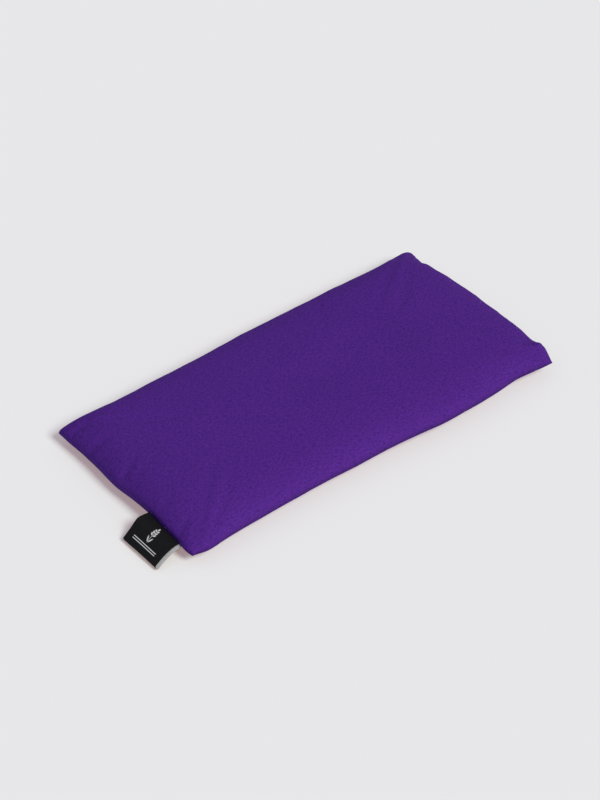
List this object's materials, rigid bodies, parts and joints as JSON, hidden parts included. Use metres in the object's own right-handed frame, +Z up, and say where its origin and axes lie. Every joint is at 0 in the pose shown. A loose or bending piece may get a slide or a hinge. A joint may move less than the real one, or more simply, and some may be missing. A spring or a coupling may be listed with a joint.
{
  "type": "eye pillow",
  "caption": "Slim rectangular cotton eye pillow with a folded label in one short seam and a seed-filled inner bag that slides out of the open end.",
  "frame": {"origin": "centre of the pillow's underside, on the surface it rests on", "axes": "+X along the pillow from the label end to the cover's mouth, +Y across it, +Z up"},
  "size_m": [0.2489, 0.112, 0.019],
  "materials": {
    "cover_cotton": "plain-woven purple cotton with a faint rib, matt",
    "cover_thread": "purple polyester sewing thread",
    "label_weave": "black damask-woven label with a white woven motif and a pale back",
    "inner_calico": "unbleached calico, matt",
    "inner_thread": "ecru sewing thread",
    "linseed_and_lavender": "glossy brown linseed with grey-violet lavender buds"
  },
  "bodies": {
    "cover": {"cover_top_panel": "cover_cotton", "cover_bottom_panel": "cover_cotton", "cover_seam_thread": "cover_thread", "mouth_top_hem_thread": "cover_thread", "mouth_bottom_hem_thread": "cover_thread", "label_tail": "label_weave"},
    "inner_pillow": {"inner_bag_top_panel": "inner_calico", "inner_bag_bottom_panel": "inner_calico", "inner_bag_seam_thread": "inner_thread", "inner_bag_closing_thread": "inner_thread", "seed_filling": "linseed_and_lavender"},
    "label": {"woven_label": "label_weave"}
  },
  "joints": [
    {"name": "inner_pillow_slide", "type": "slide", "parent": "cover", "child": "inner_pillow", "axis": [1, 0, 0], "range_m": [0, 0.245], "deforming": ["cover_top_panel", "cover_bottom_panel", "mouth_top_hem_thread", "mouth_bottom_hem_thread"]},
    {"name": "label_hinge", "type": "hinge", "parent": "cover", "child": "label", "pos_m": [-0.1161, -0.0315, 0.0085], "axis": [0, 1, 0], "range_deg": [-4, 110], "stiffness_Nm_per_rad": 0.0004}
  ]
}
